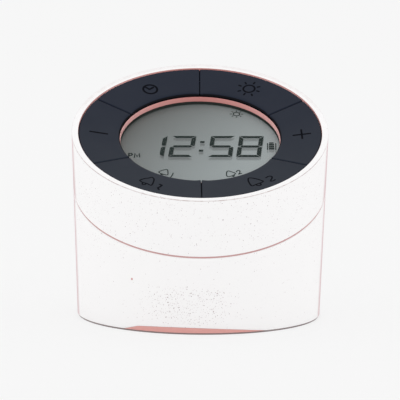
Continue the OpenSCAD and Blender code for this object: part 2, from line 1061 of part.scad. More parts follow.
// A plug on the underside of the main board, over a place seen from above
module board_plug(x, y, width) {
    h = 3.4;
    depth = 4;
    n = board_n + board_t * cs + h;
    face(n)
        translate([x - width / 2, (y - n * sn) / cs - depth / 2, 0])
            cube([width, depth, h]);
}

// Height of the underside of the main board over a place seen from above
function board_under(y) = rim_h - board_top - board_t + y * sn / cs;

// Three wires from the charging board up to the main board, with their plugs
module board_lead() {
    x = -8;
    y = 25;
    pitch = 1.8;
    plug_w = 6;
    low = charge_board_z + charge_board_t;
    color([0.75, 0.16, 0.14]) {
        for (i = [-1 : 1])
            wire([[x + pitch * i, y, low + 2], [x + pitch * i, y, board_under(y) - 2]], 0.7);
        translate([x - plug_w / 2, y - 1.8, low])
            cube([plug_w, 3.6, 3]);
        board_plug(x, y, plug_w);
    }
}

// Two wires from the loudspeaker up to the main board
module speaker_lead() {
    tabs = [4.8, 1, 1.2];
    y = speaker_at[1] + speaker_r - tabs[1] / 2;
    low = cover_top + 0.05 + speaker_frame_h;
    color([0.82, 0.80, 0.30]) {
        for (x = [-1.2, 1.2])
            wire([[x, y, low + 0.5], [x, y, board_under(y) - 2]], 0.45);
        translate([-tabs[0] / 2, y - tabs[1] / 2, low])
            cube(tabs);
        board_plug(0, y, tabs[0]);
    }
}

// Spring plates at both ends of the cell
module battery_contacts() {
    plate_t = 0.25;
    color(steel)
        for (side = [-1, 1])
            translate([side * (cell_l / 2 + 0.15) - plate_t / 2, cell_y - 6, cover_top + 4])
                cube([plate_t, contact_out, 12]);
}

// Two wires from the cell's contacts to the charging board
module battery_leads() {
    r = 0.8;
    z = cover_top + 9;
    x = cell_l / 2 + 0.15;
    y_start = cell_y - 6 + contact_out;
    y_turn = charge_board_y - 2;
    end = [charge_post_x[1] - 1.5, y_turn, charge_board_z + charge_board_t + r];
    color([0.12, 0.12, 0.13])
        for (side = [-1, 1])
            wire([
                [side * x, y_start, z], [side * x, y_turn, z],
                [side * end[0] * 1.6, y_turn, end[2]], [side * end[0], y_turn, end[2]]
            ], r);
}

lower_housing();
upper_housing();
seam_ring();
rim_liner();
base_cover();
foot_pad();
key_deck();
key_clock();
key_light();
key_plus();
key_alarm_2();
key_alarm_1();
key_minus();
switch_plunger_clock();
switch_plunger_light();
switch_plunger_plus();
switch_plunger_alarm_2();
switch_plunger_alarm_1();
switch_plunger_minus();
switch_bodies();
main_board();
board_chips();
display_bezel();
display_gasket();
display_lens();
lcd_panel();
light_guide();
backlight_leds();
display_holder();
lcd_connector();
deck_screws();
board_screws();
housing_screws();
base_screws();
speaker();
battery_cell();
battery_cradle();
charge_board();
charge_socket();
board_lead();
speaker_lead();
battery_contacts();
battery_leads();
charge_board_screws();
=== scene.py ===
"""Round table alarm clock: finishes, key signs, display graphics and fine shells over the frame."""
import json
import math

import bmesh
import bpy
from mathutils import Matrix, Vector


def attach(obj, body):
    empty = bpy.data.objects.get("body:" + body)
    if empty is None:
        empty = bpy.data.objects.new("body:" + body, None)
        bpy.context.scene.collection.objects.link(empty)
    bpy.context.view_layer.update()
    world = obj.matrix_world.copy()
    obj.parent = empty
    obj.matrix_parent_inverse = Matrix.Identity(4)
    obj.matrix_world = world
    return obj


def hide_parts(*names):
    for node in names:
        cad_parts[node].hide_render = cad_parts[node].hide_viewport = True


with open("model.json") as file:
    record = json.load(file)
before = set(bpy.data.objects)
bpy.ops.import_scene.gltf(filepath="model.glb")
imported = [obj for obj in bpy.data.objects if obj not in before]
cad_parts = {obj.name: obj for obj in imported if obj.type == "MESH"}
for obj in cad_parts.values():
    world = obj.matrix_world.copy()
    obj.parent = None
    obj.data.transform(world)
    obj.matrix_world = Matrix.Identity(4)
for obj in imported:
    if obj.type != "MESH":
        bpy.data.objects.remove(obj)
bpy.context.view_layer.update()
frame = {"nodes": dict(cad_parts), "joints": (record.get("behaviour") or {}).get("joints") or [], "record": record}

NODES = frame["nodes"]

# Lengths are in millimetres unless a comment says otherwise, and MM takes them to metres
MM = 0.001

# Measures repeated from the part's source; a depth is taken straight down from the rim plane
BASE_R = 47.4
DRAFT = math.tan(math.radians(2.1))
RIM_H = 72.3
SEAM_DEPTH = 22.2
SEAM_GAP = 0.65
WALL = 2.8
FOOT_T = 0.65
BAND_END_X = -28.4
BAND_END_RISE = math.tan(math.radians(17.2))
MOUTH_R = 47.5
LINER_R = 47.9
LINER_FIT = 0.02
LINER_LOW = 5.3
LIP_T = 0.15
DECK_LOW = 7.4
KEY_RO = 47.2
KEY_RI = 31.3
KEY_OUT_DEPTH = 0.25
KEY_IN_DEPTH = 2.0
KEY_NOSE_LOW = 2.7
KEY_NOSE_T = 0.65
BEZEL_RI = 31.1
BEZEL_LIP_T = 0.3
BEZEL_TOP = 3.2
BEZEL_LOW = 4.92
BEZEL_FLANGE_TOP = 4.3
BEZEL_FLANGE_R = 34.3
LCD_LOW = 8.85
SOCKET_Z = 12.0
SLOT_W = 10.0
SLOT_H = 4.2

# Measures of the scene alone
UPPER_WALL = 3.2
LINER_ROSE_LOW = 1.1
LCD_R = 32.6
KEY_GAP = 0.4
# Underside of a keycap, clear of the trim's flange when the key is pressed
KEY_UNDER = 3.85
# Turns round the body's axis, in degrees: of the four slanting keys, and of the front gap
KEY_TURN = 0.12
FRONT_GAP_TURN = 0.55
# The rose band stands in part for the shade that falls low on the body's front
# Sloping upper edge of the rose band: its height on the body's axis, how far it falls for each
# millimetre to the right and to the back, and the white coat's distance from it
BAND_LEVEL = -5.08
BAND_FALL_X = 0.0295
BAND_FALL_Y = 0.160
BAND_GAP = 0.05
# A rose blot on the coat
BLOT = (-25.7, -40.7, 20.1)

# Slope of the top, from the direction in which the keys sink
PRESS_AXIS = Vector(frame["joints"][0]["axis"])
RISE = -PRESS_AXIS.y / PRESS_AXIS.z

KEY_ANGLES = {"plus": 0, "light": 60, "clock": 120, "minus": 180, "alarm_1": 240, "alarm_2": 300}


def srgb(r, g, b):
    """Linear colour of an sRGB triple in 0..255, with alpha."""
    def lin(v):
        v = v / 255
        return v / 12.92 if v <= 0.04045 else ((v + 0.055) / 1.055) ** 2.4
    return (lin(r), lin(g), lin(b), 1.0)


# Material helpers


def new_material(name, base, roughness, **sockets):
    """A Principled material, its shader node and its node tree."""
    mat = bpy.data.materials.new(name)
    mat.use_nodes = True
    shader = mat.node_tree.nodes["Principled BSDF"]
    shader.inputs["Base Color"].default_value = base
    shader.inputs["Roughness"].default_value = roughness
    for key, value in sockets.items():
        shader.inputs[key.replace("_", " ")].default_value = value
    return mat, shader, mat.node_tree


def feed(tree, socket, value):
    """A link or a plain value into an input."""
    if isinstance(value, bpy.types.NodeSocket):
        tree.links.new(value, socket)
    else:
        socket.default_value = value


def add(tree, kind, inputs=(), **settings):
    """A node of a kind, with its settings and its input values or links."""
    node = tree.nodes.new(kind)
    for key, value in settings.items():
        setattr(node, key, value)
    for key, value in dict(inputs).items():
        feed(tree, node.inputs[key], value)
    return node


def object_coords(tree):
    return add(tree, "ShaderNodeTexCoord").outputs["Object"]


def noise(tree, scale, detail=2.0, roughness=0.5):
    return add(tree, "ShaderNodeTexNoise", {
        "Vector": object_coords(tree), "Scale": scale, "Detail": detail, "Roughness": roughness,
    }).outputs["Fac"]


def calc(tree, operation, first, second=0.0, third=0.0):
    node = add(tree, "ShaderNodeMath", {0: first, 1: second, 2: third}, operation=operation)
    return node.outputs[0]


def times(tree, first, second):
    return calc(tree, "MULTIPLY", first, second)


def map_range(tree, value, low, high, to_low=0.0, to_high=1.0):
    """A value carried from one span to another and held at its ends."""
    return add(tree, "ShaderNodeMapRange", {
        "Value": value, "From Min": low, "From Max": high, "To Min": to_low, "To Max": to_high,
    }).outputs["Result"]


def window(tree, value, middle, half, soft):
    """One inside a span of a value, falling to nothing over a soft edge."""
    away = calc(tree, "ABSOLUTE", calc(tree, "SUBTRACT", value, middle))
    return map_range(tree, away, half, half + soft, 1.0, 0.0)


def axes(tree):
    """The object's own coordinates, in metres."""
    parts = add(tree, "ShaderNodeSeparateXYZ", {"Vector": object_coords(tree)})
    return parts.outputs["X"], parts.outputs["Y"], parts.outputs["Z"]


def depth_field(tree):
    """Depth under the rim plane."""
    _, y, z = axes(tree)
    level = calc(tree, "MULTIPLY_ADD", y, -RISE, z)
    return calc(tree, "MULTIPLY_ADD", level, -1 / MM, RIM_H)


def radius_field(tree):
    """Distance from the body's axis."""
    x, y, _ = axes(tree)
    flat = add(tree, "ShaderNodeCombineXYZ", {"X": x, "Y": y})
    reach = add(tree, "ShaderNodeVectorMath", {0: flat.outputs[0]}, operation="LENGTH")
    return times(tree, reach.outputs["Value"], 1 / MM)


def mix_color(tree, fac, a, b):
    node = add(tree, "ShaderNodeMix", data_type="RGBA")
    for index, value in ((0, fac), (6, a), (7, b)):
        feed(tree, node.inputs[index], value)
    return node.outputs[2]


def mix_shader(tree, fac, a, b):
    return add(tree, "ShaderNodeMixShader", {"Fac": fac, 1: a, 2: b}).outputs[0]


def bump(tree, shader, height, strength, distance):
    """A fine relief; its distance is in metres."""
    node = add(tree, "ShaderNodeBump",
               {"Height": height, "Strength": strength, "Distance": distance})
    tree.links.new(node.outputs["Normal"], shader.inputs["Normal"])


def rough_variation(tree, shader, scale, low, high):
    """Roughness that varies a little over the surface."""
    span = map_range(tree, noise(tree, scale), 0.0, 1.0, low, high)
    tree.links.new(span, shader.inputs["Roughness"])


# Materials


def flecks(tree, x, z):
    """Specks in the coat, which stand closer low at the front and in a band under the rim."""
    across, up = times(tree, x, 1 / MM), times(tree, z, 1 / MM)
    low_front = times(tree, window(tree, across, -4, 10, 12), window(tree, up, 11, 5, 5))
    high_band = times(tree, window(tree, up, 44, 8, 12), 0.45)
    dense = calc(tree, "MAXIMUM", low_front, high_band)
    limit = calc(tree, "MULTIPLY_ADD", dense, -0.12, 0.82)
    above = calc(tree, "SUBTRACT", noise(tree, 2600, 0), limit)
    return map_range(tree, above, 0.0, 0.05)


def rim_edge_shade(tree, y, depth, radius):
    """Painted shade: a broken darker line near the rim's outer edge, lower and stronger at the front than at the
    back.
    """
    line_depth = map_range(tree, y, 0.0, 0.02, 0.34, 0.1)
    line = times(tree, window(tree, depth, line_depth, 0.09, 0.09),
                 window(tree, radius, 51, 2.2, 0.2))
    broken = map_range(tree, noise(tree, 520), 0.4, 0.6, 0.5)
    ahead = map_range(tree, y, 0.0, -0.02, 0.25)
    return times(tree, line, times(tree, broken, ahead))


def body_white():
    """White coat with flecks, with a painted rose sheen, and painted shade at the rim's edge and rose lip."""
    white = srgb(247, 246, 246)
    mat, shader, tree = new_material("body_white", white, 0.6, Specular_IOR_Level=0.3)
    x, y, z = axes(tree)
    depth, radius = depth_field(tree), radius_field(tree)
    facing = add(tree, "ShaderNodeLayerWeight", {"Blend": 0.5}).outputs["Facing"]
    apart = add(tree, "ShaderNodeVectorMath", {0: object_coords(tree), 1: [v * MM for v in BLOT]},
                operation="DISTANCE").outputs["Value"]
    # Painted shade: rose on the rim's inner edge where it turns down into the recess
    lip = times(tree, window(tree, depth, 0.1, 0.2, 0.05),
                window(tree, radius, MOUTH_R - 1, 1.03, 0.05))
    coat = white
    for share, color in (
        # Painted rose sheen: rose where the surface is seen at a grazing angle, which darkens the silhouettes
        (map_range(tree, facing, 0.81, 0.9), (216, 190, 193)),
        # Painted shade line along the rim's outer edge
        (rim_edge_shade(tree, y, depth, radius), (198, 184, 183)),
        (times(tree, flecks(tree, x, z), 0.8), (158, 138, 142)),
        (window(tree, apart, 0, 0.3 * MM, 0.25 * MM), (206, 150, 148)),
        (lip, (214, 156, 152)),
    ):
        coat = mix_color(tree, share, coat, srgb(*color))
    tree.links.new(coat, shader.inputs["Base Color"])
    bump(tree, shader, noise(tree, 2600, 3), 0.06, 0.0001)
    rough_variation(tree, shader, 60, 0.5, 0.66)
    return mat


def rose_lacquer():
    """Rose lacquer of the cover and its band at the foot."""
    mat, shader, tree = new_material("rose_lacquer", srgb(220, 160, 154), 0.4)
    grain = noise(tree, 900, 4)
    tone = mix_color(tree, grain, srgb(216, 155, 149), srgb(224, 165, 158))
    tree.links.new(tone, shader.inputs["Base Color"])
    bump(tree, shader, grain, 0.05, 0.0001)
    rough_variation(tree, shader, 120, 0.34, 0.46)
    return mat


def seam_rose():
    """Paler rose of the line between the shells."""
    mat, shader, tree = new_material("seam_rose", srgb(198, 153, 151), 0.5)
    tone = mix_color(tree, noise(tree, 900, 4), srgb(193, 148, 147), srgb(202, 158, 156))
    tree.links.new(tone, shader.inputs["Base Color"])
    rough_variation(tree, shader, 120, 0.44, 0.56)
    return mat


def rose_pearl():
    """Rose pearl of the two trim rings, painted paler towards the sides of the body, where light falls more."""
    mat, shader, tree = new_material("rose_pearl", srgb(216, 152, 146), 0.36, Metallic=0.1,
                                     Coat_Weight=0.2, Coat_Roughness=0.25)
    grain = noise(tree, 900, 4)
    # Painted shade in the middle of the ring and painted light at its sides
    middle = mix_color(tree, grain, srgb(198, 126, 121), srgb(204, 132, 127))
    sides = mix_color(tree, grain, srgb(250, 188, 184), srgb(252, 194, 190))
    away = calc(tree, "POWER", times(tree, axes(tree)[0], 1 / (BEZEL_RI * MM)), 2.0)
    tone = mix_color(tree, map_range(tree, away, 0.0, 0.9), middle, sides)
    tree.links.new(tone, shader.inputs["Base Color"])
    bump(tree, shader, grain, 0.05, 0.0001)
    rough_variation(tree, shader, 120, 0.3, 0.42)
    return mat


def key_slate():
    """Slate grey, painted a little lighter towards the front, where the keys reflect more light."""
    mat, shader, tree = new_material("key_slate", srgb(30, 36, 49), 0.45, Specular_IOR_Level=0.07)
    grain = noise(tree, 3200, 2)
    # Painted light at the front and painted shade at the back
    front = mix_color(tree, grain, srgb(32, 38, 48), srgb(36, 42, 52))
    back = mix_color(tree, grain, srgb(26, 32, 46), srgb(30, 36, 50))
    tone = mix_color(tree, map_range(tree, axes(tree)[1], -0.04, 0.02), front, back)
    tree.links.new(tone, shader.inputs["Base Color"])
    bump(tree, shader, grain, 0.08, 0.00005)
    rough_variation(tree, shader, 90, 0.42, 0.52)
    return mat


def lcd_grey(name="lcd_grey", shade=1.0):
    """Grey reflector, painted darker at the back on the left, where the recess wall shades it, and
    lighter to the right and front; a shade under one is for what is shadowed.
    """
    def tone(r, g, b):
        return srgb(r * shade, g * shade, b * shade)
    mat, shader, tree = new_material(name, tone(125, 131, 130), 0.5, Specular_IOR_Level=0.3)
    grain = noise(tree, 6000, 2)
    dark = mix_color(tree, grain, tone(88, 92, 90), tone(93, 97, 95))
    light = mix_color(tree, grain, tone(157, 166, 167), tone(162, 171, 172))
    x, y, _ = axes(tree)
    # Painted light and shade: a gradient from the shaded back left to the lit front right
    across = calc(tree, "MULTIPLY_ADD", x, 12.9, times(tree, y, -8.6))
    blend = mix_color(tree, map_range(tree, across, -0.5, 0.5), dark, light)
    tree.links.new(blend, shader.inputs["Base Color"])
    rough_variation(tree, shader, 300, 0.45, 0.55)
    return mat


def board_green():
    """Board lacquer over a hint of copper tracks."""
    mat, shader, tree = new_material("board_green", srgb(28, 92, 58), 0.35, Coat_Weight=0.4)
    grain = noise(tree, 500, 5, 0.7)
    tracks = add(tree, "ShaderNodeValToRGB", {"Fac": grain})
    first, last = tracks.color_ramp.elements
    first.position, last.position = 0.48, 0.52
    first.color, last.color = srgb(24, 84, 52), srgb(40, 112, 70)
    tree.links.new(tracks.outputs["Color"], shader.inputs["Base Color"])
    bump(tree, shader, grain, 0.1, 0.0001)
    return mat


def even_material(name, color, roughness, grain=None, vary=None, **sockets):
    """One colour, with a grain (scale, detail, strength, distance) and a varied roughness."""
    mat, shader, tree = new_material(name, srgb(*color), roughness, **sockets)
    if grain:
        scale, detail, strength, distance = grain
        bump(tree, shader, noise(tree, scale, detail), strength, distance)
    if vary:
        rough_variation(tree, shader, *vary)
    return mat


EVEN = {
    "black_plastic": dict(color=(16, 15, 17), roughness=0.6, grain=(2500, 2, 0.1, 0.00005),
                          vary=(200, 0.54, 0.66), Specular_IOR_Level=0.12),
    "foam_black": dict(color=(44, 49, 46), roughness=0.85, grain=(4200, 4, 0.3, 0.0001),
                       Specular_IOR_Level=0.1),
    "foot_rubber": dict(color=(150, 138, 137), roughness=0.8, grain=(2200, 3, 0.2, 0.0001),
                        vary=(300, 0.72, 0.86), Specular_IOR_Level=0.2),
    "clear_window": dict(color=(60, 66, 65), roughness=0.06, vary=(40, 0.04, 0.09),
                         Alpha=0.04, IOR=1.49),
    "milky_plastic": dict(color=(232, 232, 226), roughness=0.45, vary=(150, 0.4, 0.5)),
    "screw_steel": dict(color=(190, 192, 196), roughness=0.3, vary=(800, 0.22, 0.38),
                        Metallic=1.0),
    "cell_blue": dict(color=(46, 104, 160), roughness=0.3, vary=(100, 0.25, 0.36),
                      Coat_Weight=0.5),
    "lead_red": dict(color=(182, 40, 36), roughness=0.5, vary=(400, 0.42, 0.55)),
    # Near-black key sides, whose dark stands in part for the shade on the sides and under the noses
    "key_flank": dict(color=(18, 18, 22), roughness=0.8, vary=(300, 0.74, 0.86),
                      Specular_IOR_Level=0.05),
    "key_ink": dict(color=(8, 10, 17), roughness=0.7, vary=(400, 0.62, 0.76),
                    Specular_IOR_Level=0.02),
    "lcd_ink": dict(color=(35, 45, 43), roughness=0.6, vary=(500, 0.55, 0.65),
                    Specular_IOR_Level=0.05),
}
MATERIALS = {
    "body_white": body_white(), "rose_trim": rose_pearl(), "key_slate": key_slate(),
    "lcd_grey": lcd_grey(), "board_green": board_green(),
}
for material_name, look in EVEN.items():
    MATERIALS[material_name] = even_material(material_name, **look)


def paint(obj, material):
    """The material on every face of an object."""
    obj.data.materials.clear()
    obj.data.materials.append(material)


for subpart in frame["record"]["subparts"]:
    paint(NODES[subpart["node"]], MATERIALS[subpart["material_slot"]])
paint(NODES["seam_ring"], seam_rose())
paint(NODES["base_cover"], rose_lacquer())


# Meshes


def new_object(name, verts, faces, material, body, sharp=35):
    """A closed mesh with outward normals, smooth but for edges sharper than an angle."""
    mesh = bpy.data.meshes.new(name)
    mesh.from_pydata([(x * MM, y * MM, z * MM) for x, y, z in verts], [], faces)
    work = bmesh.new()
    work.from_mesh(mesh)
    bmesh.ops.recalc_face_normals(work, faces=work.faces)
    work.to_mesh(mesh)
    work.free()
    mesh.polygons.foreach_set("use_smooth", [True] * len(mesh.polygons))
    mesh.set_sharp_from_angle(angle=math.radians(sharp))
    mesh.materials.append(material)
    obj = bpy.data.objects.new(name, mesh)
    bpy.context.scene.collection.objects.link(obj)
    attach(obj, body)
    return obj


def second_material(obj, material, chosen):
    """Another material on the faces that a test picks by their centres."""
    obj.data.materials.append(material)
    for face in obj.data.polygons:
        if chosen(*(face.center / MM)):
            face.material_index = 1


def depth_at(y, z):
    """Depth of a point under the rim plane."""
    return RIM_H - z + RISE * y


def plane_at(depth):
    """Height of the plane at a depth under the rim plane, as a function of x and y."""
    return lambda x, y: RIM_H - depth + RISE * y


def rounded(corners, parts=6):
    """A closed section whose corners, given as (r, z, ease), are eased into curves."""
    points = []
    for i, (r, z, ease) in enumerate(corners):
        if ease == 0:
            points.append((r, z))
            continue
        ends = []
        for other in (corners[i - 1], corners[(i + 1) % len(corners)]):
            reach = math.hypot(other[0] - r, other[1] - z)
            ends.append((r + (other[0] - r) * ease / reach, z + (other[1] - z) * ease / reach))
        (r0, z0), (r1, z1) = ends
        for k in range(parts + 1):
            t = k / parts
            a, b, c = (1 - t) ** 2, 2 * t * (1 - t), t ** 2
            points.append((a * r0 + b * r + c * r1, a * z0 + b * z + c * z1))
    return points


def ring_faces(rings, count, closed=True):
    """Quads between rings of points; the last ring meets the first if closed."""
    faces = []
    for i in range(rings if closed else rings - 1):
        for k in range(count):
            a, b = i * count + k, i * count + (k + 1) % count
            c, d = (i + 1) % rings * count + (k + 1) % count, (i + 1) % rings * count + k
            faces.append((a, b, c, d))
    return faces


def swept(name, section, material):
    """A ring round the body's axis whose section may change as it goes round."""
    steps = 288
    verts = []
    for i in range(steps):
        turn = 2 * math.pi * i / steps
        cos, sin = math.cos(turn), math.sin(turn)
        points = rounded(section(cos, sin))
        verts += [(r * cos, r * sin, z) for r, z in points]
    return new_object(name, verts, ring_faces(steps, len(points)), material, "housing")


def on_wall(inset, depth, sin, ease=0.0):
    """Place in the section on the tapered side wall, at a depth under the rim plane."""
    r0 = BASE_R - inset
    z = (RIM_H - depth + r0 * sin * RISE) / (1 - DRAFT * sin * RISE)
    return (r0 + DRAFT * z, z, ease)


def at_radius(r, depth, sin, ease=0.0):
    """Place in the section at a radius, at a depth under the rim plane."""
    return (r, RIM_H - depth + RISE * r * sin, ease)


# Housings and trim


def upper_section(_cos, sin):
    low = SEAM_DEPTH - SEAM_GAP / 2
    return (
        on_wall(0, low, sin, 0.25), on_wall(0, 0, sin, 0.7), at_radius(MOUTH_R, 0, sin, 0.1),
        at_radius(MOUTH_R, LIP_T, sin), at_radius(LINER_R, LIP_T + LINER_R - MOUTH_R, sin),
        at_radius(LINER_R, DECK_LOW, sin), on_wall(UPPER_WALL, DECK_LOW, sin),
        on_wall(UPPER_WALL, low, sin),
    )


def band_top(x, y):
    """Height of the rose band's upper edge, which runs out quickly on the left."""
    return min(BAND_LEVEL - BAND_FALL_Y * y - BAND_FALL_X * x,
               FOOT_T + BAND_END_RISE * (x - BAND_END_X))


def lower_section(cos, sin):
    top = SEAM_DEPTH + SEAM_GAP / 2

    def bottom(inset, ease):
        r = BASE_R - inset + DRAFT * FOOT_T
        z = max(FOOT_T, band_top(r * cos, r * sin) + BAND_GAP)
        return (BASE_R - inset + DRAFT * z, z, ease)

    def level(z):
        return (BASE_R + DRAFT * z, z, 0)
    # The levels keep the shading of the plug's opening close to it
    return (
        bottom(0, 0.15), level(SOCKET_Z - SLOT_H), level(SOCKET_Z + SLOT_H),
        on_wall(0, top, sin, 0.25), on_wall(WALL, top, sin), bottom(WALL, 0),
    )


def liner_section(_cos, sin):
    inner, outer = MOUTH_R, LINER_R - LINER_FIT
    top = LIP_T + 2 * LINER_FIT
    return (
        at_radius(inner, top, sin), at_radius(inner, LINER_ROSE_LOW, sin),
        at_radius(inner, LINER_LOW, sin),
        at_radius(outer, LINER_LOW, sin), at_radius(outer, top + outer - inner, sin),
    )


def bezel_section(_cos, sin):
    outer = BEZEL_RI + BEZEL_LIP_T
    return (
        at_radius(BEZEL_RI, BEZEL_LOW, sin, 0.06), at_radius(BEZEL_RI, BEZEL_TOP, sin, 0.1),
        at_radius(outer, BEZEL_TOP, sin, 0.1), at_radius(outer, BEZEL_FLANGE_TOP, sin),
        at_radius(BEZEL_FLANGE_R, BEZEL_FLANGE_TOP, sin), at_radius(BEZEL_FLANGE_R, BEZEL_LOW, sin),
    )


def cut_socket_slot(shell):
    """Opening for the charging plug, with a softened mouth that follows the curved wall."""
    steps = 48
    straight = (SLOT_W - SLOT_H) / 2
    # How much wider each outline is than the slot, and how deep it lies in the wall
    outlines = ((0, 8.0), (0, 0.45), (0.06, 0.2), (0.2, 0.04), (0.45, -0.02), (0.8, -0.6))
    verts = []
    for grow, sink in outlines:
        for k in range(steps):
            turn = 2 * math.pi * (k + 0.5) / steps
            x = (SLOT_H / 2 + grow) * math.cos(turn) + math.copysign(straight, math.cos(turn))
            z = SOCKET_Z + (SLOT_H / 2 + grow) * math.sin(turn)
            r = BASE_R + DRAFT * z
            verts.append((x, math.sqrt(r * r - x * x) - sink, z))
    rings = len(outlines)
    faces = ring_faces(rings, steps, closed=False)
    faces += [tuple(range(steps)), tuple(range((rings - 1) * steps, rings * steps))]
    cutter = new_object("socket_cutter", verts, faces, MATERIALS["body_white"], "housing")
    cut = shell.modifiers.new("slot", "BOOLEAN")
    cut.operation = "DIFFERENCE"
    cut.solver = "EXACT"
    cut.object = cutter
    graph = bpy.context.evaluated_depsgraph_get()
    done = bpy.data.meshes.new_from_object(shell.evaluated_get(graph))
    shell.modifiers.clear()
    shell.data = done
    done.name = shell.name
    bpy.data.objects.remove(cutter)


# Keys


def key_depth(r):
    """Depth of the dished ring of keys under the rim plane."""
    dip = (KEY_IN_DEPTH - KEY_OUT_DEPTH) / (KEY_RO - KEY_RI)
    return KEY_OUT_DEPTH + dip * (KEY_RO - r)


def key_top_z(x, y):
    return RIM_H - key_depth(math.hypot(x, y)) + RISE * y


def keycap(name, at):
    """A key with rounded corners and edges, and a nose that overhangs the display's trim."""
    # Radii of the corners at the inner and outer end, and where the room under the nose ends
    in_round, out_round, undercut = 0.45, 0.6, 0.9
    # How far the rounding of the top reaches in and falls at the nose, and its size elsewhere
    nose_reach, nose_fall, ease = 1.8, 0.65, 0.4
    # The nose's rounding fades over these distances from the inner end and from a side
    nose_fade, side_fade = 4, 2.5
    # A distance from the sides that is past all rounding
    inside = 9.0
    # Distances from an edge at which the fine rows and columns lie
    near = [0, 0.015, 0.06, 0.13, 0.22, 0.33, 0.46, 0.6, 0.8, 1.1]
    length = KEY_RO - KEY_RI
    mid_rows, mid_cols = 12, 24
    middle = [near[-1] + (length - 2 * near[-1]) * k / mid_rows for k in range(1, mid_rows)]
    rows = near + middle + [length - d for d in reversed(near)]
    width = 2 * len(near) + mid_cols - 1
    half = math.pi / len(KEY_ANGLES)
    front = 1.5 * math.pi
    turn = math.radians(at + KEY_TURN * math.sin(math.radians(2 * at)))

    def angle_in(r, away):
        return half - math.asin((KEY_GAP / 2 + away) / r)

    def turned(angle):
        """An angle round the body's axis, with the front gap moved a little to the right."""
        away = angle - front
        if abs(away) < half:
            return angle + math.radians(FRONT_GAP_TURN) * math.cos(3 * away) ** 2
        return angle

    def corner_back(d_in, d_out):
        """How far a rounded corner draws a side in."""
        for away, size in ((d_in, in_round), (d_out, out_round)):
            if away < size:
                return size - math.sqrt(size ** 2 - (size - away) ** 2)
        return 0.0

    def drop(d_in, d_out, d_side):
        """How far the top's rounding falls, at distances from the ends and the nearer side."""
        dist = min(d_in, d_out, d_side)
        for away, size in ((d_in, in_round), (d_out, out_round)):
            if away < size and d_side < size:
                dist = max(0.0, size - math.hypot(size - away, size - d_side))
        nose = max(0.0, 1 - d_in / nose_fade) * min(1.0, d_side / side_fade)
        reach = ease + (nose_reach - ease) * nose
        fall = ease + (nose_fall - ease) * nose
        return fall * (1 - math.sqrt(1 - (1 - dist / reach) ** 2)) if dist < reach else 0.0

    def vertex(r, angle, depth):
        x, y = r * math.cos(angle), r * math.sin(angle)
        return (x, y, RIM_H - depth + RISE * y)

    plan, verts = [], []
    for d_in in rows:
        r, d_out = KEY_RI + d_in, length - d_in
        back = corner_back(d_in, d_out)
        edge = [(angle_in(r, back + d), back + d) for d in near]
        last = edge[-1][0]
        row = [(-a, d) for a, d in edge]
        row += [(last * (2 * k / mid_cols - 1), inside) for k in range(1, mid_cols)]
        row += [(a, d) for a, d in reversed(edge)]
        for angle, d_side in row:
            plan.append((r, turned(angle + turn)))
            verts.append(vertex(*plan[-1], key_depth(r) + drop(d_in, d_out, d_side)))

    count = len(rows)
    faces = []
    for i in range(count - 1):
        for k in range(width - 1):
            a, b = i * width + k, (i + 1) * width + k
            faces.append((a, a + 1, b + 1, b))
    loop = list(range(width)) + [i * width + width - 1 for i in range(1, count)]
    loop += [(count - 1) * width + k for k in range(width - 2, -1, -1)]
    loop += [i * width for i in range(count - 2, 0, -1)]
    previous = loop
    for shift, depth in ((0, KEY_NOSE_LOW), (KEY_NOSE_T, KEY_NOSE_LOW), (KEY_NOSE_T, KEY_UNDER)):
        ring = []
        for index in loop:
            r, a = plan[index]
            out = shift * max(0.0, 1 - (r - KEY_RI) / undercut)
            ring.append(len(verts))
            verts.append(vertex(r + out, a, depth))
        for k in range(len(loop)):
            j = (k + 1) % len(loop)
            faces.append((previous[k], previous[j], ring[j], ring[k]))
        previous = ring
    faces.append(tuple(reversed(previous)))

    def on_flank(x, y, z):
        """The dark sides, partly painted shade, which start closer to the top at the nose."""
        r = math.hypot(x, y)
        return depth_at(y, z) - key_depth(r) > (0.22 if r < KEY_RI + KEY_NOSE_T else 0.5)

    cap = new_object("keycap_" + name, verts, faces, MATERIALS["key_slate"], name + "_key")
    second_material(cap, MATERIALS["key_flank"], on_flank)
    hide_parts("key_" + name)


# Line drawings for the keys and the display


def stroke(points, width, height, thick, closed=False):
    """Verts and faces of a thin line over a surface, with round ends: height gives its z."""
    half = width / 2
    path = [Vector(p) for p in points]
    halves = [half] * len(path)
    if not closed:
        steps = 5
        first, last = (path[0] - path[1]).normalized(), (path[-1] - path[-2]).normalized()
        turns = [math.pi / 2 * k / steps for k in range(1, steps + 1)]
        caps = [(half * math.sin(turn), half * max(0.08, math.cos(turn))) for turn in turns]
        start = [path[0] + first * s for s, _ in reversed(caps)]
        path = start + path + [path[-1] + last * s for s, _ in caps]
        halves = [h for _, h in reversed(caps)] + halves + [h for _, h in caps]
    count = len(path)
    verts = []
    for i, point in enumerate(path):
        before = path[i - 1] if closed or i else None
        after = path[(i + 1) % count] if closed or i < count - 1 else None
        into = (point - before if before is not None else after - point).normalized()
        out = (after - point).normalized() if after is not None else into
        normal = Vector((-into.y - out.y, into.x + out.x)).normalized()
        # The line keeps its width in a bend, within limits
        reach = min(1.6, 1 / max(0.3, normal.dot(Vector((-into.y, into.x)))))
        for side, level in ((1, 1), (-1, 1), (-1, 0), (1, 0)):
            x, y = point + normal * side * halves[i] * reach
            verts.append((x, y, height(x, y) + thick * (level - 0.5)))
    faces = ring_faces(count, 4, closed)
    if not closed:
        faces += [(3, 2, 1, 0), tuple(range(4 * count - 4, 4 * count))]
    return verts, faces


def split(points, closed=False):
    """The same line with points no further apart than a step."""
    step = 0.5
    result = []
    for (x0, y0), (x1, y1) in zip(points, points[1:] + points[:1] if closed else points[1:]):
        parts = max(1, math.ceil(math.hypot(x1 - x0, y1 - y0) / step))
        result += [(x0 + (x1 - x0) * k / parts, y0 + (y1 - y0) * k / parts) for k in range(parts)]
    return result if closed else result + [points[-1]]


